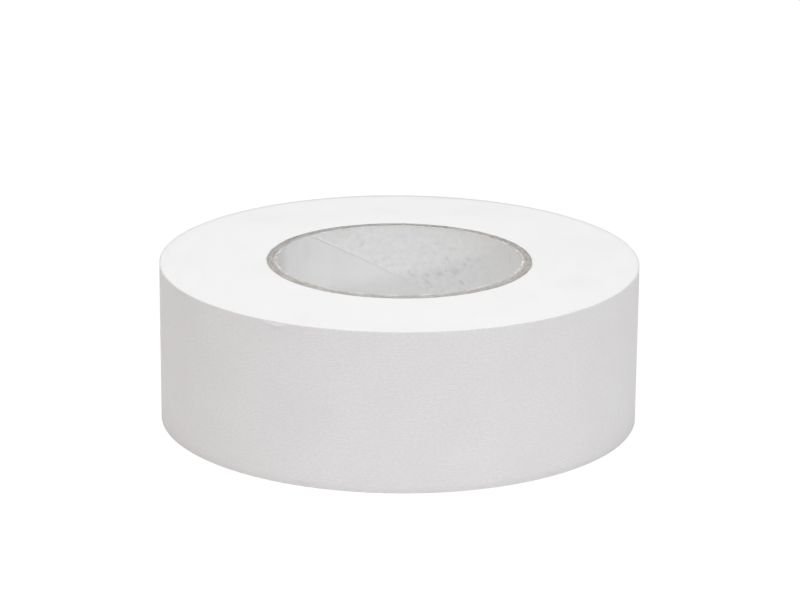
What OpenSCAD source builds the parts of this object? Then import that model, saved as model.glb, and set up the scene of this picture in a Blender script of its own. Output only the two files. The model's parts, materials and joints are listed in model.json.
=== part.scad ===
// Roll of cloth gaffer tape on a spiral-wound paperboard core.
// The roll lies on one face: Z is its axis and Z = 0 is the face that it lies on.
// Sizes are in millimetres and angles in degrees about Z from +X, unless a comment says otherwise.

/* [Tape] */
// Width of the tape, which is the height of the roll
tape_w = 50; // [12:1:100]
// Length of tape on the roll, in metres
tape_len = 50; // [10:1:100]
// Thickness of the coated cloth
cloth_t = 0.15; // [0.10:0.01:0.30]
// Thickness of the adhesive under the cloth
adhesive_t = 0.07; // [0.04:0.01:0.15]
// Bond line on each face of the adhesive
bond_t = 0.01; // [0.005:0.005:0.03]

/* [Free end] */
// Length of the free end that peels off the roll
tail_len = 60; // [20:1:80]
// Number of stretches that the free end bends between
tail_count = 5; // [2:1:8]
// Where the tape ends
tail_angle = 150; // [0:5:355]
// Bare surface between the end of the tape and the start of its last turn
tail_setback = 2; // [1:0.5:5]
// Clearance under the free end, and between its stretches
tail_gap = 0.1; // [0.02:0.01:0.30]

/* [Core] */
// Inside diameter of the core
bore_d = 76; // [40:1:152]
// Thickness of the smooth paper that lines the bore
liner_t = 0.4; // [0.2:0.05:1]
// Thickness of one chipboard ply
ply_t = 0.52; // [0.3:0.02:1]
// Number of chipboard plies
ply_count = 4; // [1:1:8]
// Thickness of the paper jacket that the tape is wound on
jacket_t = 0.42; // [0.2:0.02:1]
// Glue line between two plies, and between the jacket and the tape
glue_t = 0.02; // [0.01:0.01:0.1]
// Angle between a ply's edges and the core's end faces
wind_angle = 28; // [10:1:60]
// Width of the open seam where a ply's two edges meet
seam_w = 0.3; // [0.1:0.05:1]
// Where the liner's seam reaches the bottom face
seam_angle = -4; // [-180:1:180]

/* [Hidden] */
$fn = 180;

// A seam's cutter runs this far past the faces that it cuts
overrun = 0.5;
// Turn of a seam's cutter from one slice to the next
seam_step = 6;
// A seam's cutter is four-sided, and its sides aren't split
seam_sides = 4;
// Steps along the last turn, between the points on which its gap to itself is measured
turn_steps = 180;

// The jacket is the last ply, after the liner and the chipboard
jacket_ply = ply_count + 1;
// Axial advance of a ply in one turn, the same for all plies because they are wound together
lead = PI * bore_d * tan(wind_angle);
// Each ply's seam is turned on from the one inside it
seam_stagger = 360 / (jacket_ply + 1);

// The layers of one thickness of tape, outwards: bond, adhesive, bond, cloth
tape_t = adhesive_t + cloth_t + 2 * bond_t;
pack_r = ply_outer_r(jacket_ply) + glue_t;
// A tape's side view keeps its area when it is wound, and that sets the roll's radius
wound_r = sqrt(pow(pack_r, 2) + tape_len * 1000 * tape_t / PI);

// The last turn is a spiral of two half circles: the first about the core's axis,
// and the second about a centre half a thickness along +X, so that it ends one thickness further out.
first_r = wound_r - tape_t;
second_r = first_r + tape_t / 2;
second_centre = [tape_t / 2, 0];
stretch_deg = arc_deg(tail_len / tail_count, second_r);
gap_deg = arc_deg(tail_gap, second_r);
tape_end = 360 - arc_deg(tail_setback, second_r);
tail_start = tape_end - tail_count * stretch_deg;
// Turns the spiral so that the tape ends where it should
spiral_angle = tail_angle - tape_end;
tail_outer_r = second_r + tail_gap + adhesive_t + bond_t + cloth_t;

function arc_deg(length, r) = length / r * 180 / PI;
function polar(r, a) = [r * cos(a), r * sin(a)];

// Ply 0 is the liner
function ply_thickness(i) = i == 0 ? liner_t : i == jacket_ply ? jacket_t : ply_t;
function ply_inner_r(i) = i == 0 ? bore_d / 2 : ply_outer_r(i - 1) + glue_t;
function ply_outer_r(i) = ply_inner_r(i) + ply_thickness(i);

// Middle of the last turn at an angle from its start
function turn_point(a) =
    a <= 180 ? polar(first_r + tape_t / 2, a) : second_centre + polar(second_r + tape_t / 2, a);
// Line about which a stretch of the free end bends, on the face of the tape
function tail_hinge(k) =
    let (p = second_centre + polar(tail_outer_r, tail_start + (k - 1) * stretch_deg))
    polar(norm(p), atan2(p.y, p.x) + spiral_angle);

// Least gap between two points of the last turn that are half of it or more apart
function least_turn_gap() =
    let (points = [for (i = [0:turn_steps]) turn_point(tape_end * i / turn_steps)])
    min([for (i = [0:turn_steps / 2], j = [i + turn_steps / 2:turn_steps])
        norm(points[i] - points[j])]) - tape_t;

echo(roll_diameter = 2 * wound_r, core_outside_diameter = 2 * ply_outer_r(jacket_ply));
echo(ply_strip_width = PI * bore_d * sin(wind_angle), ply_lead = lead);
echo(least_turn_gap = least_turn_gap());
echo(tail_hinges = [for (k = [1:tail_count]) tail_hinge(k)]);

module ring(inner_r, outer_r) {
    difference() {
        cylinder(r = outer_r, h = tape_w);
        translate([0, 0, -overrun]) cylinder(r = inner_r, h = tape_w + 2 * overrun);
    }
}

// Part of a turn of something thin, from one angle to another
module band(inner_r, thickness, from, to) {
    rotate_extrude(angle = to - from, start = from)
        translate([inner_r, 0]) square([thickness, tape_w]);
}

module half_disc(r, from) {
    rotate_extrude(angle = 180, start = from) square([r, tape_w]);
}

// The slit that a ply's edges leave, rising counter-clockwise
module seam(inner_r, outer_r) {
    height = tape_w + 2 * overrun;
    turn = height / lead * 360;
    rotate(-overrun / lead * 360) translate([0, 0, -overrun])
        linear_extrude(height, twist = -turn, slices = ceil(turn / seam_step), segments = seam_sides)
            translate([inner_r - overrun, -seam_w / 2])
                square([outer_r - inner_r + 2 * overrun, seam_w]);
}

// One strip of paper wound into a tube, with its edges meeting along a helix
module ply(i) {
    difference() {
        ring(ply_inner_r(i), ply_outer_r(i));
        rotate(seam_angle + i * seam_stagger) seam(ply_inner_r(i), ply_outer_r(i));
    }
}

module core_liner() {
    color("gainsboro") ply(0);
}

module core_ply(i) {
    color("rosybrown") ply(i);
}

module core_jacket() {
    color("tan") ply(jacket_ply);
}

// Every turn under the last one, stuck together into one body
module tape_pack() {
    color("whitesmoke") rotate(spiral_angle) difference() {
        union() {
            half_disc(first_r, 0);
            translate(second_centre) half_disc(second_r, 180);
        }
        translate([0, 0, -overrun]) cylinder(r = pack_r, h = tape_w + 2 * overrun);
    }
}

// One layer of the last turn, as far as the free end
module outer_turn(height, thickness) {
    rotate(spiral_angle) {
        band(first_r + height, thickness, 0, 180);
        translate(second_centre) band(second_r + height, thickness, 180, tail_start - gap_deg / 2);
    }
}

module outer_turn_adhesive() {
    color("oldlace") outer_turn(bond_t, adhesive_t);
}

module outer_turn_cloth() {
    color("white") outer_turn(adhesive_t + 2 * bond_t, cloth_t);
}

// One layer of a stretch of the free end
module tail(k, height, thickness) {
    from = tail_start + (k - 1) * stretch_deg + gap_deg / 2;
    rotate(spiral_angle) translate(second_centre)
        band(second_r + height, thickness, from, from + stretch_deg - gap_deg);
}

module tail_adhesive(k) {
    color("oldlace") tail(k, tail_gap, adhesive_t);
}

module tail_cloth(k) {
    color("white") tail(k, tail_gap + adhesive_t + bond_t, cloth_t);
}

core_liner();
for (i = [1:ply_count])
    core_ply(i);
core_jacket();
tape_pack();
outer_turn_adhesive();
outer_turn_cloth();
for (k = [1:tail_count]) {
    tail_adhesive(k);
    tail_cloth(k);
}
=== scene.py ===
"""Looks of a roll of white gaffer tape on a paperboard core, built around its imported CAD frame.

Lengths are in metres and angles in radians about the roll's axis from +X, unless a name says otherwise.
A place along the tape is counted in turns from the start of its last turn.
"""

import json
import math

import bmesh
import bpy
import numpy as np
from mathutils import Matrix, Vector


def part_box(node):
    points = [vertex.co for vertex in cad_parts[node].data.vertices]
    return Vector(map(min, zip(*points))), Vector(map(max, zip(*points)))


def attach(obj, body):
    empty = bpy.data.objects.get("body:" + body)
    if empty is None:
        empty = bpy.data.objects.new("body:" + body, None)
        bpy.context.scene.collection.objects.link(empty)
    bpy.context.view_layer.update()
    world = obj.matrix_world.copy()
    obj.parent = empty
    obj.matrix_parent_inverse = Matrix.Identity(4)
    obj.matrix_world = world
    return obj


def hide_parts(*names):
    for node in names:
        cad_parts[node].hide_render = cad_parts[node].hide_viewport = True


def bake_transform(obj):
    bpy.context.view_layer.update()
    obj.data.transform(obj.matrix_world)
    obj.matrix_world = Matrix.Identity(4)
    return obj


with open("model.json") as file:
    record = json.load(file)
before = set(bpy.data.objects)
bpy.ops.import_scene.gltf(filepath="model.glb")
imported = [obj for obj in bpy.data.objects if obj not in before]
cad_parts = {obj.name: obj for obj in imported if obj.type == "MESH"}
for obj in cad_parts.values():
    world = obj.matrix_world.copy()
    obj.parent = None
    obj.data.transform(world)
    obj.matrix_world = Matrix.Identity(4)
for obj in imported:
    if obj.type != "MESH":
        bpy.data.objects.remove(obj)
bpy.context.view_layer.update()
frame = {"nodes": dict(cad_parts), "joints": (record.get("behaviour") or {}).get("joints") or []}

MM = 0.001
TAU = 2 * math.pi

# The camera, fitted to the roll's edges in the photograph
CAMERA_DISTANCE = 1.1818
CAMERA_ELEVATION = math.radians(17.733)
CAMERA_TO_SIDE = 0.27 * MM
CAMERA_AIM_ABOVE = 0.00958
CAMERA_ROLL = 0.0079
LENS_MM = 170.8
SENSOR_MM = 36

# The tape's layers
CLOTH_T = 0.15 * MM
ADHESIVE_T = 0.07 * MM
BOND_T = 0.01 * MM
TAPE_T = CLOTH_T + ADHESIVE_T + 2 * BOND_T
# Clearance under the free end, and the stretch of tape in which it opens
TAIL_GAP = 0.1 * MM
TAIL_EASE_TURNS = 0.02

# The core's strips are wound together, each seam turned on from the one inside it
WIND_ANGLE = math.radians(28)
SEAM_ANGLE = math.radians(-4)
SEAM_STAGGER = math.radians(60)
SEAM_W = 0.3 * MM


def points_of(node):
    """The points of a CAD node, one per row."""
    return np.array([vertex.co for vertex in frame["nodes"][node].data.vertices])


def reach(node):
    """Least and greatest distance of a CAD node from the roll's axis."""
    radii = np.hypot(*points_of(node)[:, :2].T)
    return radii.min(), radii.max()


def angle_of(point):
    return math.atan2(point[1], point[0])


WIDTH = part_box("tape_pack")[1].z
PACK_IN, PACK_OUT = reach("tape_pack")
# Underside of the last turn where it starts, one thickness inside the outermost point of the turns below
LAST_TURN_IN = PACK_OUT - TAPE_T
LAST_TURN_ANGLE = angle_of(max(points_of("tape_pack"), key=lambda p: math.hypot(p[0], p[1])))
BORE_R = reach("core_liner")[0]
LEAD = TAU * BORE_R * math.tan(WIND_ANGLE)

HINGES = [joint["pos_m"] for joint in frame["joints"]]
HINGE_TURNS = [(angle_of(p) - LAST_TURN_ANGLE) / TAU % 1 for p in HINGES]
STRETCH_TURNS = HINGE_TURNS[1] - HINGE_TURNS[0]


def smooth(share):
    share = np.clip(share, 0, 1)
    return share * share * (3 - 2 * share)


def wander(angle, frequencies, seed):
    """Smooth random variation around a circle, about -1 to 1, from sines of whole-number frequencies."""
    phases = np.random.default_rng(seed).uniform(0, TAU, len(frequencies))
    sines = [np.sin(n * angle + phase) for n, phase in zip(frequencies, phases)]
    return sum(sines) / math.sqrt(len(sines))


def bump_at(distance, size):
    """A round bump of height 1 that is gone about two sizes from its middle."""
    return np.exp(-((distance / size) ** 2))


# Meshes

# Faces that meet at more than this angle meet at a sharp edge
SHARP_ANGLE = math.radians(35)


def quads(grid):
    """The faces between the points of a grid of point numbers."""
    around = [grid[:-1, :-1], grid[1:, :-1], grid[1:, 1:], grid[:-1, 1:]]
    return np.stack(around, -1).reshape(-1, 4)


def set_attribute(mesh, name, kind, key, values):
    attribute = mesh.attributes.new(name, kind, "POINT")
    attribute.data.foreach_set(key, np.asarray(values, np.float32).ravel())


def make_piece(name, points, faces, strip, materials):
    """A closed mesh object.

    strip holds, for each point, where it is along, across and through the material.
    """
    mesh = bpy.data.meshes.new(name)
    mesh.from_pydata(points.tolist(), [], faces.tolist())
    shape = bmesh.new()
    shape.from_mesh(mesh)
    bmesh.ops.recalc_face_normals(shape, faces=shape.faces)
    shape.to_mesh(mesh)
    shape.free()
    mesh.shade_smooth()
    mesh.set_sharp_from_angle(angle=SHARP_ANGLE)
    set_attribute(mesh, "strip", "FLOAT_VECTOR", "vector", strip)
    for material in materials:
        mesh.materials.append(material)
    piece = bpy.data.objects.new(name, mesh)
    bpy.context.scene.collection.objects.link(piece)
    return piece


def make_slab(name, place, along, across, through, material):
    """A bent slab with closed sides.

    place turns the three parameters into points and strip coordinates.
    """
    a, b, c = np.meshgrid(along, across, through, indexing="ij")
    number = np.arange(a.size).reshape(a.shape)
    sides = [number[0], number[-1], number[:, 0], number[:, -1], number[:, :, 0], number[:, :, -1]]
    used, faces = np.unique(np.concatenate([quads(side) for side in sides]), return_inverse=True)
    points, strip = place(a.ravel()[used], b.ravel()[used], c.ravel()[used])
    return make_piece(name, points, faces.reshape(-1, 4), strip, [material])


def ring_points(radius, angle, height):
    return np.stack([radius * np.cos(angle), radius * np.sin(angle), height], -1)


# Materials


class Look:
    """A material under construction, with short ways to wire nodes into its Principled shader."""

    def __init__(self, name, specular=0.3):
        self.material = bpy.data.materials.new(name)
        self.material.use_nodes = True
        self.tree = self.material.node_tree
        self.shader = self.tree.nodes["Principled BSDF"]
        self.shader.inputs["Specular IOR Level"].default_value = specular

    def feed(self, socket, value):
        if isinstance(value, bpy.types.NodeSocket):
            self.tree.links.new(value, socket)
        else:
            socket.default_value = value

    def add(self, kind, inputs, **settings):
        node = self.tree.nodes.new("ShaderNode" + kind)
        for key, value in settings.items():
            setattr(node, key, value)
        for key, value in inputs.items():
            self.feed(node.inputs[key], value)
        return node

    def attribute(self, name):
        return self.add("Attribute", {}, attribute_name=name)

    def parts(self, vector):
        return self.add("SeparateXYZ", {"Vector": vector}).outputs

    def strip(self):
        """Metres along the strip, metres across it, and its share through the thickness."""
        vector = self.attribute("strip").outputs["Vector"]
        return vector, self.parts(vector)

    def math(self, operation, *values):
        return self.add("Math", dict(enumerate(values)), operation=operation).outputs[0]

    def average(self, first, second, share):
        """A share of the first value, and the rest of the second."""
        rest = self.math("MULTIPLY", second, 1 - share)
        return self.math("MULTIPLY_ADD", first, share, rest)

    def vector_math(self, operation, *values):
        return self.add("VectorMath", dict(enumerate(values)), operation=operation).outputs[0]

    def stretched(self, vector, scale):
        return self.vector_math("MULTIPLY", vector, scale)

    def noise(self, vector, scale, detail=3.0, roughness=0.55):
        inputs = {"Vector": vector, "Scale": scale, "Detail": detail, "Roughness": roughness}
        return self.add("TexNoise", inputs).outputs["Fac"]

    def blurred(self, vector, scale, distance):
        """The vector shifted about at random, by up to half of a distance along each axis."""
        shift = self.add("TexNoise", {"Vector": vector, "Scale": scale, "Detail": 3.0}).outputs["Color"]
        moved = self.vector_math("MULTIPLY_ADD", shift, (distance,) * 3, vector)
        return self.vector_math("SUBTRACT", moved, (distance / 2,) * 3)

    def ramp(self, value, low, high, to_low=0.0, to_high=1.0):
        inputs = {"Value": value, "From Min": low, "From Max": high, "To Min": to_low, "To Max": to_high}
        return self.add("MapRange", inputs, interpolation_type="SMOOTHSTEP").outputs["Result"]

    def mix(self, share, first, second):
        inputs = {0: share, 6: first, 7: second}
        return self.add("Mix", inputs, data_type="RGBA").outputs[2]

    def soiled_and_shaded(self, colour, soil_and_shade):
        """The colour under the soil and painted shade that the mesh carries."""
        return self.mix(self.attribute("soil_and_shade").outputs["Fac"], colour, soil_and_shade)

    def bump(self, height, distance, strength):
        inputs = {"Height": height, "Distance": distance, "Strength": strength}
        return self.add("Bump", inputs).outputs["Normal"]

    def finish(self, colour, roughness, normal):
        self.feed(self.shader.inputs["Base Color"], colour)
        self.feed(self.shader.inputs["Roughness"], roughness)
        self.feed(self.shader.inputs["Normal"], normal)
        return self.material


def grey(level, red=0.0, blue=0.0):
    """An opaque colour near grey, with its red and its blue changed by a share."""
    return (level * (1 + red), level, level * (1 + blue), 1)


# Thread spacing of the cloth, along the tape and across it
THREAD_ALONG = 0.42 * MM
THREAD_ACROSS = 0.74 * MM
# Slant of the fine crinkles in its coat, and the scales of their pattern along, across and through the tape
CRINKLE_SLANT = math.radians(-25)
CRINKLE_STRETCH = (0.55, 1, 0)


def weave_height(look, along, across, slide=0.0):
    """Height of a plain weave, 0 to 1. slide shifts its threads, in radians."""
    warp = look.math("SINE", look.math("MULTIPLY_ADD", across, math.pi / THREAD_ACROSS, slide))
    weft = look.math("SINE", look.math("MULTIPLY_ADD", along, math.pi / THREAD_ALONG, slide))
    return look.math("ABSOLUTE", look.math("MULTIPLY", warp, weft))


def cloth_look():
    """Matt plastic-coated cotton: the weave shows through the coat as a fine grid of bumps."""
    look = Look("coated_cloth")
    vector, (along, across, _) = look.strip()
    waver = look.noise(look.stretched(vector, (1, 1.5, 0)), 420)
    weave = weave_height(look, along, across, look.math("MULTIPLY", waver, 5.0))
    turned = {"Vector": vector, "Rotation": (0, 0, CRINKLE_SLANT), "Scale": CRINKLE_STRETCH}
    slanted = look.add("Mapping", turned).outputs[0]
    crinkle = look.ramp(look.noise(slanted, 1600, 2.0, 0.6), 0.3, 0.7)
    # The hollows of the weave and crinkles are painted darker than their crests, a painted shade
    tone = look.average(weave, crinkle, 0.5)
    plain = look.mix(tone, grey(0.757, 0.018, 0.012), grey(0.863, 0.018, 0.012))
    cloud = look.ramp(look.noise(vector, 70, 4.0), 0.35, 0.7, 0.0, 0.3)
    cloudy = look.mix(cloud, plain, grey(0.755, 0.02, 0.011))
    colour = look.soiled_and_shaded(cloudy, grey(0.42, 0.02))
    height = look.math("ADD", weave, crinkle)
    rough = look.ramp(crinkle, 0.0, 1.0, 0.66, 0.80)
    return look.finish(colour, rough, look.bump(height, 0.02 * MM, 0.6))


def wound_edge_look():
    """Cut edges of the wound turns: white cloth, with a thin line of adhesive between two turns."""
    look = Look("cut_tape_edges", 0.2)
    _, (_, _, crest) = look.strip()
    place = look.add("NewGeometry", {}).outputs["Position"]
    line = look.mix(look.ramp(crest, 0.0, 0.5), grey(0.78), grey(0.90))
    cloud = look.ramp(look.noise(place, 45, 4.0), 0.4, 0.75, 0.0, 0.4)
    colour = look.soiled_and_shaded(look.mix(cloud, line, grey(0.83)), grey(0.45))
    fuzz = look.noise(place, 1500, 3.0)
    rough = look.ramp(fuzz, 0.2, 0.8, 0.75, 0.95)
    return look.finish(colour, rough, look.bump(fuzz, 0.02 * MM, 0.5))


def adhesive_look():
    """Natural rubber adhesive, off-white and slightly tacky, with the weave's print in it."""
    look = Look("rubber_adhesive", 0.5)
    vector, (along, across, _) = look.strip()
    weave = weave_height(look, along, across)
    cloud = look.noise(vector, 130, 4.0)
    colour = look.mix(cloud, grey(0.72, 0.045, -0.045), grey(0.82, 0.035, -0.035))
    rough = look.ramp(cloud, 0.3, 0.7, 0.32, 0.5)
    return look.finish(colour, rough, look.bump(weave, 0.012 * MM, 0.6))


# How far from its seam the liner is flecked, fading out
FLECKED_REACH = 110 * MM
# Width of the liner's pale edge at the seam, a painted highlight on its curled lip, and the heights between
# which the edge curls up and brightens
SEAM_EDGE_W = 0.6 * MM
LIP_START = 24 * MM
LIP_FULL = 38 * MM
# Dark ovals on the liner, marks, plain darkenings and a painted shade: angle and height of the middle, half
# length, half width, slant, strength.
# Angles are in degrees and sizes in millimetres. The strip runs clockwise from its seam, so an angle beyond
# the seam is given less a full turn.
LINER_MARKS_AND_SHADE = [
    (108.1, 44.5, 0.7, 0.4, 0, 0.13),
    (97.0, 41.5, 1.1, 0.9, 0, 0.04),
    (94.0, 36.5, 0.9, 0.4, -15, 0.10),
    (83.5, 33.5, 0.5, 0.4, 0, 0.19),
    (76.2, 33.8, 0.6, 0.5, 0, 0.22),
    (70.1, 34.5, 1.3, 0.5, 10, 0.22),
    (67.0, 35.8, 0.6, 0.4, 30, 0.22),
    (62.3, 36.2, 1.1, 0.9, 0, 0.20),
    (56.8, 39.1, 0.6, 0.5, 0, 0.19),
    (55.1, 41.0, 1.1, 0.5, -20, 0.14),
    (66.6, 40.1, 0.6, 0.5, -30, 0.19),
    (77.3, 41.3, 0.5, 0.4, 0, 0.15),
    (71.8, 44.7, 1.2, 0.4, 0, 0.10),
    (63.5, 43.4, 1.8, 0.4, 0, 0.09),
    (58.4, 32.9, 1.1, 0.5, -35, 0.26),
    (76.0, 31.4, 2.1, 0.4, -40, 0.17),
    (24.4, 46.3, 0.7, 1.4, 0, 0.13),
    (88.0, 46.2, 1.1, 0.7, 0, 0.07),
    (-219.0, 45.0, 2.0, 3.2, 0, 0.06),
    # A broad painted shade on the left of the bore wall, just below the rim
    (-185.0, 44.5, 9.0, 9.0, 0, 0.28),
    # A darker line along the top rim at the front left
    (-140.0, 50.0, 18.0, 0.5, 0, 0.25),
    # Faint darkenings of the bore wall just below its top rim, at the back
    (120.0, 48.3, 3.5, 1.6, 0, 0.05),
    (36.0, 47.5, 7.0, 2.5, 0, 0.03),
]


def liner_dark_oval(look, along, across, angle_deg, height_mm, half_long, half_wide, slant_deg, strength):
    """How dark one slanted oval makes a point of the liner."""
    slant = math.radians(slant_deg)
    x = look.math("SUBTRACT", along, BORE_R * math.radians(angle_deg))
    z = look.math("SUBTRACT", across, height_mm * MM)
    forward = look.math("MULTIPLY_ADD", z, math.sin(slant), look.math("MULTIPLY", x, -math.cos(slant)))
    upward = look.math("MULTIPLY_ADD", z, math.cos(slant), look.math("MULTIPLY", x, math.sin(slant)))
    far_long = look.math("POWER", look.math("DIVIDE", forward, half_long * MM), 2.0)
    far_wide = look.math("POWER", look.math("DIVIDE", upward, half_wide * MM), 2.0)
    return look.ramp(look.math("ADD", far_long, far_wide), 0.0, 2.5, strength, 0.0)


def liner_marks_and_shade(look, vector, flecked):
    """How dark specks, marks, darkenings and the painted shade make a point of the liner. Their outlines are
    frayed.
    """
    frayed = look.blurred(vector, 900, 1.2 * MM)
    spots = look.add("TexVoronoi", {"Vector": frayed, "Scale": 400.0}).outputs["Distance"]
    chance = look.ramp(look.noise(vector, 200, 2.0), 0.46, 0.6, 0.0, 0.14)
    speck = look.ramp(spots, 0.08, 0.4, 1.0, 0.0)
    darkest = look.math("MULTIPLY", speck, look.math("MULTIPLY", chance, flecked))
    along, across, _ = look.parts(frayed)
    for oval in LINER_MARKS_AND_SHADE:
        darkest = look.math("MAXIMUM", darkest, liner_dark_oval(look, along, across, *oval))
    return darkest


def liner_look():
    """Smooth pale grey paper, flecked and mottled above its seam, with a painted highlight on its curled
    edge, a painted shade and rough rims.
    """
    look = Look("liner_paper", 0.25)
    vector, (along, across, _) = look.strip()
    seam = look.math("MULTIPLY_ADD", across, BORE_R * TAU / LEAD, BORE_R * SEAM_ANGLE)
    from_seam = look.math("SUBTRACT", seam, along)
    flecked = look.ramp(from_seam, 0.0, FLECKED_REACH, 1.0, 0.0)

    grain = look.noise(vector, 700, 4.0)
    bands = look.noise(look.stretched(vector, (1, 0.15, 0)), 120)
    tone = look.ramp(look.average(grain, bands, 0.4), 0.35, 0.65)
    paper = look.mix(flecked, look.mix(tone, grey(0.885), grey(0.915)), grey(0.93))
    mottle = look.math("MULTIPLY", look.ramp(look.noise(vector, 520, 4.0, 0.65), 0.35, 0.7), flecked)
    mottled = look.mix(mottle, paper, grey(0.86))

    # Painted highlight along the seam's curled edge, growing as the lip curls up
    showing = look.ramp(across, LIP_START, LIP_FULL, 0.2, 1.0)
    edge = look.math("MULTIPLY", look.ramp(from_seam, 0.1 * MM, SEAM_EDGE_W, 0.6, 0.0), showing)
    edged = look.mix(edge, mottled, grey(0.95))
    to_rim = look.math("MINIMUM", across, look.math("SUBTRACT", WIDTH, across))
    cut = look.ramp(to_rim, 0.05 * MM, 0.25 * MM, 1.0, 0.0)
    torn = look.ramp(look.noise(look.stretched(vector, (0.4, 1, 0)), 420, 4.0, 0.65), 0.45, 0.60)
    rim = look.mix(torn, grey(0.52, 0.03, -0.02), grey(0.84, 0.01, -0.01))
    colour = look.mix(liner_marks_and_shade(look, vector, flecked), look.mix(cut, edged, rim), grey(0.42))

    height = look.math("MULTIPLY_ADD", mottle, 2.0, grain)
    rough = look.ramp(grain, 0.3, 0.7, 0.6, 0.8)
    return look.finish(colour, rough, look.bump(height, 0.015 * MM, 0.5))


# How much light the plies send back where their fibres are matted and where they are loose,
# from the bore outwards, and the jacket after them
PLY_TONES = [(0.41, 0.69), (0.29, 0.62), (0.31, 0.65), (0.29, 0.62)]
# The jacket's darker tones are partly its own paper and partly a painted shade for the gap where the core
# meets the tape
JACKET_TONES = (0.36, 0.54)
# Scales of the patterns of a ply's fibres and clouds, along it, across it and through it
FIBRE_STRETCH = (0.35, 1, 0.0014)
CLOUD_STRETCH = (1, 1, 0.0003)


def chipboard_look(name, tones):
    """Grey-brown board of long matted fibres, darkest in the glue lines on its faces."""
    look = Look(name, 0.15)
    dark, light = grey(tones[0], 0.055, -0.05), grey(tones[1], 0.04, -0.03)
    vector, (_, _, depth) = look.strip()
    fibre = look.noise(look.stretched(vector, FIBRE_STRETCH), 1400, 4.0, 0.65)
    cloud = look.noise(look.stretched(vector, CLOUD_STRETCH), 160, 4.0)
    board = look.mix(look.ramp(look.average(fibre, cloud, 0.7), 0.38, 0.62), dark, light)
    from_middle = look.math("ABSOLUTE", look.math("SUBTRACT", depth, 0.5))
    glue = look.ramp(from_middle, 0.32, 0.5, 0.0, 0.35)
    colour = look.mix(glue, board, grey(0.24, 0.06, -0.05))
    rough = look.ramp(fibre, 0.3, 0.7, 0.8, 0.95)
    return look.finish(colour, rough, look.bump(fibre, 0.05 * MM, 0.7))


# Wound tape

# Points in one turn of the wound tape
WOUND_STEPS = 160
# Depth of the line between two turns below the cut edges beside it
GROOVE = 0.024 * MM
# How far whole groups of turns stand back from the end faces
TURN_WANDER = 0.02 * MM
# The outermost turns are rounded off towards the outside, less at the face that the roll lies on
EDGE_DROP = 0.15 * MM
REST_EDGE_DROP = 0.04 * MM
EDGE_RUN = 0.8 * MM
# The roll is this much narrower in radius at the bottom than at the top
TAPER = 0.2 * MM
# The innermost turns were drawn down at the top: by how much, how much more where they lie lowest,
# the angle of that place, and how far out this reaches
INNER_DROP = 0.06 * MM
INNER_LEAN = 0.18 * MM
INNER_LEAN_ANGLE = math.radians(50)
INNER_REACH = 4 * MM

# Painted shade on the outermost turns of the top face, most at the back, and how far it reaches inwards and
# down
TOP_EDGE_SHADE = 0.7
TOP_EDGE_REACH = 1.6 * MM
TOP_EDGE_DEPTH = 0.4 * MM
# Patches of soil on the innermost turns, beside the core, and how far they reach outwards
CORE_EDGE_SOIL = 0.5
CORE_EDGE_REACH = 0.35 * MM
# Faint smudges and broad faint darkenings on the top face: place in millimetres, half sizes along X and Y,
# strength
TOP_DARK_PATCHES = [
    (-43, 45, 7, 5, 0.07),
    (-5.2, 55.6, 5, 5, 0.06),
    (22, 54, 8, 4, 0.06),
    (55, -23, 7, 8, 0.07),
    (68, -12, 4, 6, 0.05),
    (39, 51, 6, 4, 0.04),
    (56, 20, 4, 5, 0.04),
    (54, 9, 4, 5, 0.03),
    (65, 17, 4, 7, 0.03),
    (57, -5, 3, 5, 0.03),
    # Broad faint darkenings over the left and right of the face
    (-50, -42, 9, 14, 0.015),
    (62, 8, 26, 42, 0.026),
    (-60, 0, 20, 34, 0.018),
    (30, 61, 13, 5, 0.04),
    (12, 70, 9, 1.5, 0.10),
]
# Faint marks on the outside of the tape, and a painted shadow under the wrinkle: angle in degrees, height,
# half sizes along and across in millimetres, strength
SIDE_SMUDGES_AND_SHADOW = [
    # Painted shadow under the wrinkle's bulge
    (-119, 48.2, 1.5, 0.3, 0.16),
    (-112, 1.2, 3.0, 0.8, 0.10),
    (-78, 22.0, 9.0, 5.0, 0.025),
]
# Painted contact shade along the bottom edge, and how far up it reaches
REST_EDGE_SHADE = 0.10
REST_EDGE_REACH = 1.3 * MM


def under_radius(turn):
    """Radius of the tape's underside. A turn is two half circles, and the second climbs by one thickness."""
    whole = np.floor(turn)
    phase = TAU * (turn - whole)
    climb = np.where(phase > math.pi, (1 + np.cos(phase)) / 2, 0)
    return LAST_TURN_IN + TAPE_T * (whole + climb)


def turn_angle(turn):
    return LAST_TURN_ANGLE + TAU * turn


def inner_drop(radius, angle):
    """How far the innermost turns lie below the rest at the top, or above it if negative."""
    drop = INNER_DROP + INNER_LEAN * np.cos(angle - INNER_LEAN_ANGLE)
    return drop * smooth((PACK_IN + INNER_REACH - radius) / INNER_REACH)


def edge_drop(radius, depth):
    """How far the tape's cut edges lie inside an end face of the roll. depth is the drop at the outside."""
    return depth * np.clip((radius - PACK_OUT + EDGE_RUN) / EDGE_RUN, 0, None) ** 2


def tape_points(radius, angle, height):
    """Points of the wound tape, whose turns lie a little closer together towards the bottom."""
    outward = (radius - PACK_IN) / (PACK_OUT - PACK_IN)
    return ring_points(radius - TAPER * outward * (1 - height / WIDTH), angle, height)


def top_edge_shade(points):
    """Strength of the painted shade along the outer edge of the top face."""
    x, y, z = points.T
    back = (1 + y / PACK_OUT) / 2
    inwards = bump_at(PACK_OUT - np.hypot(x, y), TOP_EDGE_REACH)
    return TOP_EDGE_SHADE * back**4 * inwards * bump_at(WIDTH - z, TOP_EDGE_DEPTH)


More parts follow.
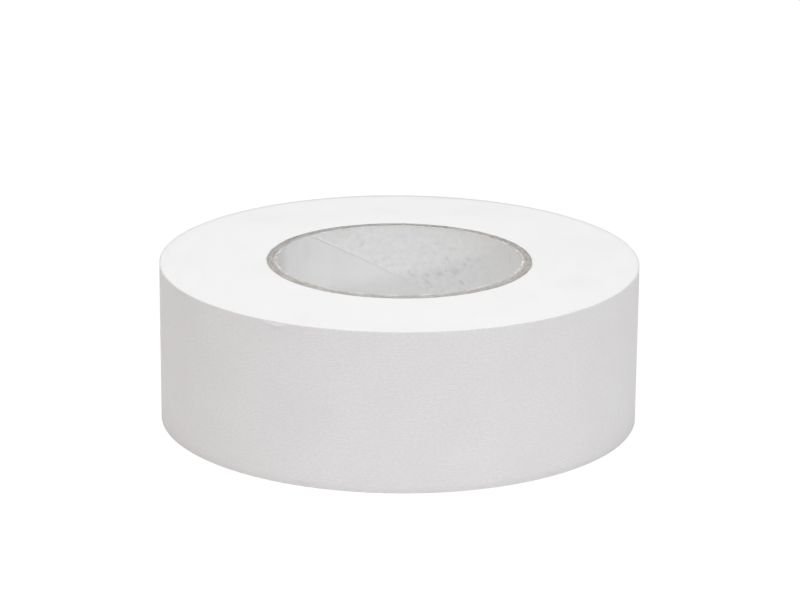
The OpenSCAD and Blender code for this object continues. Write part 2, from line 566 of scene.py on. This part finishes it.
def top_soil_and_shade(points):
    """Strength of the soil, smudges, darkenings and painted edge shade on the top face."""
    x, y = points[:, 0] / MM, points[:, 1] / MM
    patchy = np.clip(wander(np.arctan2(y, x), (11, 29, 47), 7), 0, 1)
    beside_core = bump_at(np.hypot(x, y) * MM - PACK_IN, CORE_EDGE_REACH)
    soil_and_shade = top_edge_shade(points) + CORE_EDGE_SOIL * patchy * beside_core
    for middle_x, middle_y, half_x, half_y, strength in TOP_DARK_PATCHES:
        soil_and_shade += strength * bump_at(np.hypot((x - middle_x) / half_x, (y - middle_y) / half_y), 1)
    return np.where(points[:, 2] > WIDTH / 2, soil_and_shade, 0)


def wound_faces(layers):
    """Faces of the wound tape: both end faces with the inner walls, and the outside.

    The points of an end face are its spiral valley, then its spiral ridge.
    """
    valley = np.arange(layers + WOUND_STEPS + 1)
    ridge = len(valley) + np.arange(layers + 1)
    count = len(valley) + len(ridge)

    def wall(line):
        return quads(np.stack([line, line + count]))

    lines = np.stack([valley[: layers + 1], ridge, valley[WOUND_STEPS:]])
    inner = valley[: WOUND_STEPS + 1]
    start, stop = lines[:, 0], lines[:, -1]
    inside = [quads(lines), quads(lines + count), wall(inner), wall(start), wall(stop)]
    return np.concatenate(inside), wall(valley[layers:])


def make_wound_tape(edge_material, cloth_material):
    """All turns under the last one, stuck together: two spiral end faces, ridged turn by turn, and walls."""
    turns = int((LAST_TURN_IN - PACK_IN) / TAPE_T)
    layers = turns * WOUND_STEPS
    valley_turn = np.arange(-layers, WOUND_STEPS + 1) / WOUND_STEPS
    valley_r = under_radius(valley_turn)
    crest_r = (valley_r[: layers + 1] + valley_r[WOUND_STEPS:]) / 2
    turn = np.concatenate([valley_turn, valley_turn[: layers + 1]])
    radius = np.concatenate([valley_r, crest_r])
    crest = np.concatenate([np.zeros(len(valley_r)), np.ones(len(crest_r))])
    angle = turn_angle(turn)

    back = TURN_WANDER * (1 + wander(turn / turns, (23, 61, 97, 171, 263), 3) / 2)
    inset = back + GROOVE * (1 - crest)
    top_z = WIDTH - inset - edge_drop(radius, EDGE_DROP) - inner_drop(radius, angle)
    top = tape_points(radius, angle, top_z)
    bottom = tape_points(radius, angle, inset + edge_drop(radius, REST_EDGE_DROP))
    points = np.concatenate([top, bottom])
    along = TAU * PACK_OUT * turn
    strip = np.concatenate([np.stack([along, face[:, 2], crest], -1) for face in (top, bottom)])

    inside, outside = wound_faces(layers)
    faces = np.concatenate([inside, outside])
    piece = make_piece("wound_tape", points, faces, strip, [edge_material, cloth_material])
    material_of = np.repeat(np.array([0, 1], np.int32), [len(inside), len(outside)])
    piece.data.polygons.foreach_set("material_index", material_of)
    set_attribute(piece.data, "soil_and_shade", "FLOAT", "value", top_soil_and_shade(points))
    return piece


# Last turn and free end

# Spacing of the points along the tape, and how far from an edge those near it are
ALONG_STEP = 1.0 * MM
EDGE_STEPS = np.array([0, 0.06, 0.15, 0.3, 0.5, 0.75, 1, 1.25, 1.5, 1.75, 2, 2.25, 2.5, 3, 4]) * MM
# Between its edges the tape has points every millimetre, and the first is this far in
EDGE_BAND_MM = 5
# A wrinkle near the top edge: its angle, height, half sizes, how much higher its ends lie for each metre
# from its middle, how far it stands out, and the number of places along it
WRINKLE_ANGLE = math.radians(-119.2)
WRINKLE_HEIGHT = 49.0 * MM
WRINKLE_LONG = 2.6 * MM
WRINKLE_WIDE = 0.45 * MM
WRINKLE_BOW = 0.1
WRINKLE_OUT = 0.38 * MM
WRINKLE_STEPS = 33
# Gentle waves of the laid tape, the two ways they slant, in radians for each metre of height,
# and raggedness of its cut edges
LAID_WAVES = 0.018 * MM
WAVE_SLANTS = (14, -22)
EDGE_RAGGED = 0.03 * MM
# Raggedness of the torn end
TORN_END = 0.35 * MM


def standoff(turn):
    """Height of the tape's underside over the turn below: a bond line, and the clearance of the free end."""
    opened = smooth((turn - HINGE_TURNS[0] + TAIL_EASE_TURNS) / TAIL_EASE_TURNS)
    return BOND_T + (TAIL_GAP - BOND_T) * opened


def off_angle(angle, middle):
    """Difference of two angles, from half a turn back to half a turn on."""
    return (angle - middle + math.pi) % TAU - math.pi


def laid_waves(angle, height):
    """How far the laid tape stands off its ideal shape: slow waves and one small wrinkle."""
    rising, falling = [angle + slant * height for slant in WAVE_SLANTS]
    wave = wander(rising, (9, 17, 31), 11) + wander(falling, (13, 29, 41), 12)
    along = PACK_OUT * off_angle(angle, WRINKLE_ANGLE)
    across = height - WRINKLE_HEIGHT - WRINKLE_BOW * np.abs(along)
    wrinkle = bump_at(along, WRINKLE_LONG) * bump_at(across, WRINKLE_WIDE)
    return LAID_WAVES * (1 + wave / 2) + WRINKLE_OUT * wrinkle


def side_soil_and_shade(angle, height):
    """Strength of the soil, the painted wrinkle shadow and the painted contact shade on the outside of the
    tape.
    """
    soil_and_shade = REST_EDGE_SHADE * bump_at(height, REST_EDGE_REACH)
    for angle_deg, height_mm, half_along, half_across, strength in SIDE_SMUDGES_AND_SHADOW:
        along = PACK_OUT * off_angle(angle, math.radians(angle_deg)) / (half_along * MM)
        across = (height - height_mm * MM) / (half_across * MM)
        soil_and_shade += strength * bump_at(np.hypot(along, across), 1)
    return soil_and_shade


def tape_places(first, last):
    """Places along the tape at an even step, closer together at the wrinkle."""
    count = max(2, round((last - first) * TAU * PACK_OUT / ALONG_STEP))
    even = np.linspace(first, last, count + 1)
    wrinkle = off_angle(WRINKLE_ANGLE, LAST_TURN_ANGLE) / TAU % 1
    near = wrinkle + np.linspace(-2, 2, WRINKLE_STEPS) * WRINKLE_LONG / (TAU * PACK_OUT)
    return np.union1d(even, near[(near > first) & (near < last)])


def tape_rows():
    """Places across the tape as shares of its width, closer together near its edges."""
    middle = np.arange(EDGE_BAND_MM, round(WIDTH / MM) - EDGE_BAND_MM + 1) * MM
    return np.concatenate([EDGE_STEPS, middle, WIDTH - EDGE_STEPS[::-1]]) / WIDTH


def make_tape(name, first, last, low, high, inset, material, torn):
    """One layer of the tape from one place to another, between two heights above the tape's underside."""

    def place(turn, share, depth):
        ragged_end = TORN_END * wander(share * TAU, (2, 5, 11, 23, 41), 21) / (TAU * PACK_OUT)
        near_end = smooth(1 - (last - turn) / STRETCH_TURNS) if torn else 0
        turn = turn + ragged_end * near_end
        angle = turn_angle(turn)
        radius = under_radius(turn) + standoff(turn) + low + (high - low) * depth
        radius = radius + laid_waves(angle, WIDTH * share)
        ragged_top = wander(angle, (37, 83, 149, 211), 31)
        ragged_low = wander(angle, (41, 89, 151, 223), 32)
        foot = inset + edge_drop(radius, REST_EDGE_DROP) + EDGE_RAGGED * (1 + ragged_low / 2)
        head = WIDTH - inset - edge_drop(radius, EDGE_DROP) - EDGE_RAGGED * (1 + ragged_top / 2)
        height = foot + (head - foot) * share
        strip = np.stack([TAU * PACK_OUT * turn, height, depth], -1)
        return tape_points(radius, angle, height), strip

    piece = make_slab(name, place, tape_places(first, last), tape_rows(), np.array([0, 1]), material)
    points = np.array([vertex.co for vertex in piece.data.vertices])
    soil_and_shade = top_edge_shade(points) + side_soil_and_shade(np.arctan2(points[:, 1], points[:, 0]), points[:, 2])
    set_attribute(piece.data, "soil_and_shade", "FLOAT", "value", soil_and_shade)
    return piece


def make_cloth(name, first, last, material, torn=False):
    low = ADHESIVE_T + BOND_T
    return make_tape(name, first, last, low, low + CLOTH_T, 0, material, torn)


# The adhesive stops a little short of the cloth's edges
ADHESIVE_INSET = 0.08 * MM


def make_adhesive(name, first, last, material, torn=False):
    return make_tape(name, first, last, 0, ADHESIVE_T, ADHESIVE_INSET, material, torn)


# Core

# Points round a ply, up it and through it, enough for its helical edges, and closer together near its rims
PLY_STEPS = 300
PLY_ROWS = 32
PLY_LAYERS = 5
RIM_STEPS = np.array([0, 0.12, 0.3, 0.6, 1.0]) * MM
# How far a cut ply slopes down to the outside, and how far its fibres stand up and down
PLY_SLOPE = 0.05 * MM
PLY_FUZZ = 0.07 * MM
# The plies and the jacket lie a little lower than the tape
PLY_DROP = 0.07 * MM
# The liner's rims are level with the tape, and cut cleaner
LINER_SLOPE = 0.04 * MM
LINER_FUZZ = 0.03 * MM
# From a ply's inner face to its outer one, the fibres of its rims are turned by this angle
FIBRE_TURN = 0.9
# Each ply's strip starts this far along, so that its fibres differ from those of the ply beside it
PLY_SHIFT = 1.0
# The core's top is cut askew: this much lower at the back than midway, and as much higher at the front
CORE_LEAN = 0.15 * MM
# The liner's edges meet at a fine line, and the upper one curls up into the bore
LINER_SEAM_W = 0.12 * MM
LIP_LIFT = 0.085 * MM
LIP_WIDTH = 0.5 * MM
# Slow waves of the liner, and how they slant, in radians for each metre of height
LINER_WAVES = 0.02 * MM
LINER_WAVE_SLANT = -9
# The knife that cut the core pressed the liner's rims inwards, by up to this much
BURR = 0.15 * MM
BURR_REACH = 0.35 * MM


def seam_angle(ply, height):
    """Angle of a ply's seam at a height. The seams rise counter-clockwise."""
    return SEAM_ANGLE + ply * SEAM_STAGGER + TAU * height / LEAD


def liner_relief(from_seam, angle, height):
    """How far the liner's face stands into the bore: the seam's lip, slow waves and the burr of the rims."""
    curl = smooth((height - LIP_START) / (LIP_FULL - LIP_START))
    lip = LIP_LIFT * bump_at(from_seam, LIP_WIDTH) * curl
    waves = LINER_WAVES * np.abs(wander(angle + LINER_WAVE_SLANT * height, (7, 12, 19), 51))
    to_rim = np.minimum(height, WIDTH - height)
    patchy = 0.6 + 0.4 * wander(angle, (3, 8, 21, 34), 52)
    return lip + waves + BURR * np.clip(patchy, 0, 1) * bump_at(to_rim, BURR_REACH)


def make_ply(name, node, ply, drop, slope, fuzz, material):
    """A strip of paper wound once round, its edges meeting at a helical seam, with rough cut rims."""
    inner, outer = reach(node)
    is_liner = ply == 0
    gap = (LINER_SEAM_W if is_liner else SEAM_W) / inner

    def rim(angle, depth, seed):
        fibres = wander(angle + FIBRE_TURN * depth, (19, 43, 71, 113, 151), seed)
        return np.maximum(drop + slope * depth + fuzz * fibres, 0)

    def place(share, across, depth):
        turned = gap / 2 + share * (TAU - gap)
        angle = seam_angle(ply, WIDTH * across) - turned
        foot = rim(angle, depth, 40 + ply)
        head = rim(angle, depth, 60 + ply) + CORE_LEAN * np.sin(angle)
        height = foot + (WIDTH - foot - head) * across
        radius = inner + (outer - inner) * depth
        if is_liner:
            radius = radius - liner_relief(turned * inner, angle, height) * (1 - depth)
        strip = np.stack([inner * angle + PLY_SHIFT * ply, height, depth], -1)
        return ring_points(radius, angle, height), strip

    even = np.linspace(0, 1, PLY_STEPS + 1)
    along = (1 - np.cos(math.pi * even)) / 2 if is_liner else even
    rows = np.linspace(0, WIDTH, PLY_ROWS + 1)[1:-1]
    across = np.concatenate([RIM_STEPS, rows, WIDTH - RIM_STEPS[::-1]]) / WIDTH
    return make_slab(name, place, along, across, np.linspace(0, 1, PLY_LAYERS), material)


# Stage


def make_camera():
    data = bpy.data.cameras.new("camera")
    data.lens = LENS_MM
    data.sensor_width = SENSOR_MM
    camera = bpy.data.objects.new("camera", data)
    bpy.context.scene.collection.objects.link(camera)
    back = Vector((0, -math.cos(CAMERA_ELEVATION), math.sin(CAMERA_ELEVATION)))
    stand = Vector((CAMERA_TO_SIDE, 0, WIDTH / 2)) + back * CAMERA_DISTANCE
    pitch = CAMERA_ELEVATION - CAMERA_AIM_ABOVE
    camera.matrix_world = (
        Matrix.Translation(stand)
        @ Matrix.Rotation(math.pi / 2 - pitch, 4, "X")
        @ Matrix.Rotation(CAMERA_ROLL, 4, "Z")
    )
    bpy.context.scene.camera = camera


FLOOR_HALF = 4.0
FLOOR_ALBEDO = 0.91
# What a camera ray sees of the floor: white of its own, and a share of its shading for the object's shadow
FLOOR_WHITE = 0.95
FLOOR_SHADED = 0.09
# Strength of the even light, the side that it is warm from, how warm it is there, and the cosines
# where that starts and is full
AMBIENT = 0.485
WARM_SIDE = (-0.87, -0.1, -0.48)
WARM_LIGHT = (1.36, 1.0, 0.68, 1)
WARM_START = 0.6
WARM_FULL = 0.85
# A broad lamp overhead, and a smaller one low in front on the right
KEY_AT = (-0.03, -0.17, 1.20)
KEY_SIZE = 0.6
KEY_WATTS = 7.5
FILL_AT = (0.71, -1.39, 0.43)
FILL_SIZE = 0.12
FILL_WATTS = 2.95


def seen_directly(nodes, links):
    """1 for a camera, glossy or transmission ray, which sees the white background."""
    path = nodes.new("ShaderNodeLightPath")
    total = path.outputs["Is Camera Ray"]
    for name in ("Is Glossy Ray", "Is Transmission Ray"):
        either = nodes.new("ShaderNodeMath")
        either.operation = "MAXIMUM"
        links.new(total, either.inputs[0])
        links.new(path.outputs[name], either.inputs[1])
        total = either.outputs[0]
    return total


def mix_shaders(nodes, links, share, first, second):
    mix = nodes.new("ShaderNodeMixShader")
    links.new(share, mix.inputs[0])
    links.new(first, mix.inputs[1])
    links.new(second, mix.inputs[2])
    return mix.outputs[0]


def floor_look():
    """Pale paint that the camera sees as white, with a trace of the object's shadow."""
    material = bpy.data.materials.new("pale_floor")
    material.use_nodes = True
    nodes, links = material.node_tree.nodes, material.node_tree.links
    nodes.clear()
    paint = nodes.new("ShaderNodeBsdfDiffuse")
    paint.inputs["Color"].default_value = grey(FLOOR_ALBEDO)
    shaded = nodes.new("ShaderNodeBsdfDiffuse")
    shaded.inputs["Color"].default_value = grey(FLOOR_SHADED)
    white = nodes.new("ShaderNodeEmission")
    white.inputs["Strength"].default_value = FLOOR_WHITE
    seen = nodes.new("ShaderNodeAddShader")
    links.new(white.outputs[0], seen.inputs[0])
    links.new(shaded.outputs[0], seen.inputs[1])
    both = mix_shaders(nodes, links, seen_directly(nodes, links), paint.outputs[0], seen.outputs[0])
    links.new(both, nodes.new("ShaderNodeOutputMaterial").inputs["Surface"])
    return material


def make_floor():
    mesh = bpy.data.meshes.new("floor")
    square = [(-1, -1), (1, -1), (1, 1), (-1, 1)]
    mesh.from_pydata([(FLOOR_HALF * x, FLOOR_HALF * y, 0) for x, y in square], [], [(0, 1, 2, 3)])
    mesh.materials.append(floor_look())
    floor = bpy.data.objects.new("floor", mesh)
    bpy.context.scene.collection.objects.link(floor)


def make_world():
    """White to the eye, and an even soft light on the object that is warm from one side."""
    world = bpy.data.worlds.new("studio")
    bpy.context.scene.world = world
    world.use_nodes = True
    nodes, links = world.node_tree.nodes, world.node_tree.links
    nodes.clear()
    light = nodes.new("ShaderNodeBackground")
    light.inputs["Strength"].default_value = AMBIENT
    towards = nodes.new("ShaderNodeVectorMath")
    towards.operation = "DOT_PRODUCT"
    towards.inputs[1].default_value = WARM_SIDE
    links.new(nodes.new("ShaderNodeTexCoord").outputs["Generated"], towards.inputs[0])
    share = nodes.new("ShaderNodeMapRange")
    share.inputs["From Min"].default_value = WARM_START
    share.inputs["From Max"].default_value = WARM_FULL
    links.new(towards.outputs["Value"], share.inputs["Value"])
    warmed = nodes.new("ShaderNodeMix")
    warmed.data_type = "RGBA"
    warmed.inputs[6].default_value = grey(1)
    warmed.inputs[7].default_value = WARM_LIGHT
    links.new(share.outputs["Result"], warmed.inputs[0])
    links.new(warmed.outputs[2], light.inputs["Color"])
    white = nodes.new("ShaderNodeBackground")
    white.inputs["Color"].default_value = grey(1)
    both = mix_shaders(nodes, links, seen_directly(nodes, links), light.outputs[0], white.outputs[0])
    links.new(both, nodes.new("ShaderNodeOutputWorld").inputs["Surface"])


def make_lamp(name, place, size, watts):
    """A round soft lamp that faces the roll."""
    data = bpy.data.lights.new(name, "AREA")
    data.shape = "DISK"
    data.size = size
    data.energy = watts
    lamp = bpy.data.objects.new(name, data)
    lamp.location = place
    lamp.rotation_euler = (-Vector(place)).to_track_quat("-Z", "Y").to_euler()
    bpy.context.scene.collection.objects.link(lamp)


# Assembly


def dress_tape(edge, cloth, adhesive):
    """The wound turns, the last turn and the free end, made stretch by stretch."""
    wound = make_wound_tape(edge, cloth)
    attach(wound, "roll")
    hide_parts("tape_pack")

    turn_end = HINGE_TURNS[0]
    turn_cloth = make_cloth("last_turn_cloth", 0, turn_end, cloth)
    turn_adhesive = make_adhesive("last_turn_adhesive", 0, turn_end, adhesive)
    for piece, node, slot in (
        (turn_cloth, "outer_turn_cloth", "tape_cloth"),
        (turn_adhesive, "outer_turn_adhesive", "adhesive"),
    ):
        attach(piece, "roll")
        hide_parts(node)

    for k, joint in enumerate(frame["joints"], 1):
        first = HINGE_TURNS[k - 1]
        last = first + STRETCH_TURNS
        torn = k == len(HINGES)
        end_cloth = make_cloth(f"free_end_cloth_{k}", first, last, cloth, torn)
        end_adhesive = make_adhesive(f"free_end_adhesive_{k}", first, last, adhesive, torn)
        for piece, node, slot in (
            (end_cloth, f"tail_cloth_{k}", "tape_cloth"),
            (end_adhesive, f"tail_adhesive_{k}", "adhesive"),
        ):
            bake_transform(piece)
            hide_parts(node)


def dress_core():
    """The liner, the chipboard plies and the jacket, from the bore outwards."""
    plies = [node for node in frame["nodes"] if node.startswith("core_ply_")]
    for ply, node in enumerate(["core_liner", *sorted(plies), "core_jacket"]):
        if node == "core_liner":
            piece = make_ply("liner", node, ply, 0, LINER_SLOPE, LINER_FUZZ, liner_look())
        elif node == "core_jacket":
            paper = chipboard_look("jacket_paper", JACKET_TONES)
            piece = make_ply("jacket", node, ply, PLY_DROP, PLY_SLOPE, PLY_FUZZ, paper)
        else:
            board = chipboard_look(f"chipboard_{ply}", PLY_TONES[ply - 1])
            piece = make_ply(f"chipboard_{ply}", node, ply, PLY_DROP, PLY_SLOPE, PLY_FUZZ, board)
        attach(piece, "roll")
        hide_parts(node)


bpy.context.scene.view_settings.view_transform = "Standard"
make_camera()
make_world()
make_lamp("key", KEY_AT, KEY_SIZE, KEY_WATTS)
make_lamp("fill", FILL_AT, FILL_SIZE, FILL_WATTS)
make_floor()
dress_tape(wound_edge_look(), cloth_look(), adhesive_look())
dress_core()
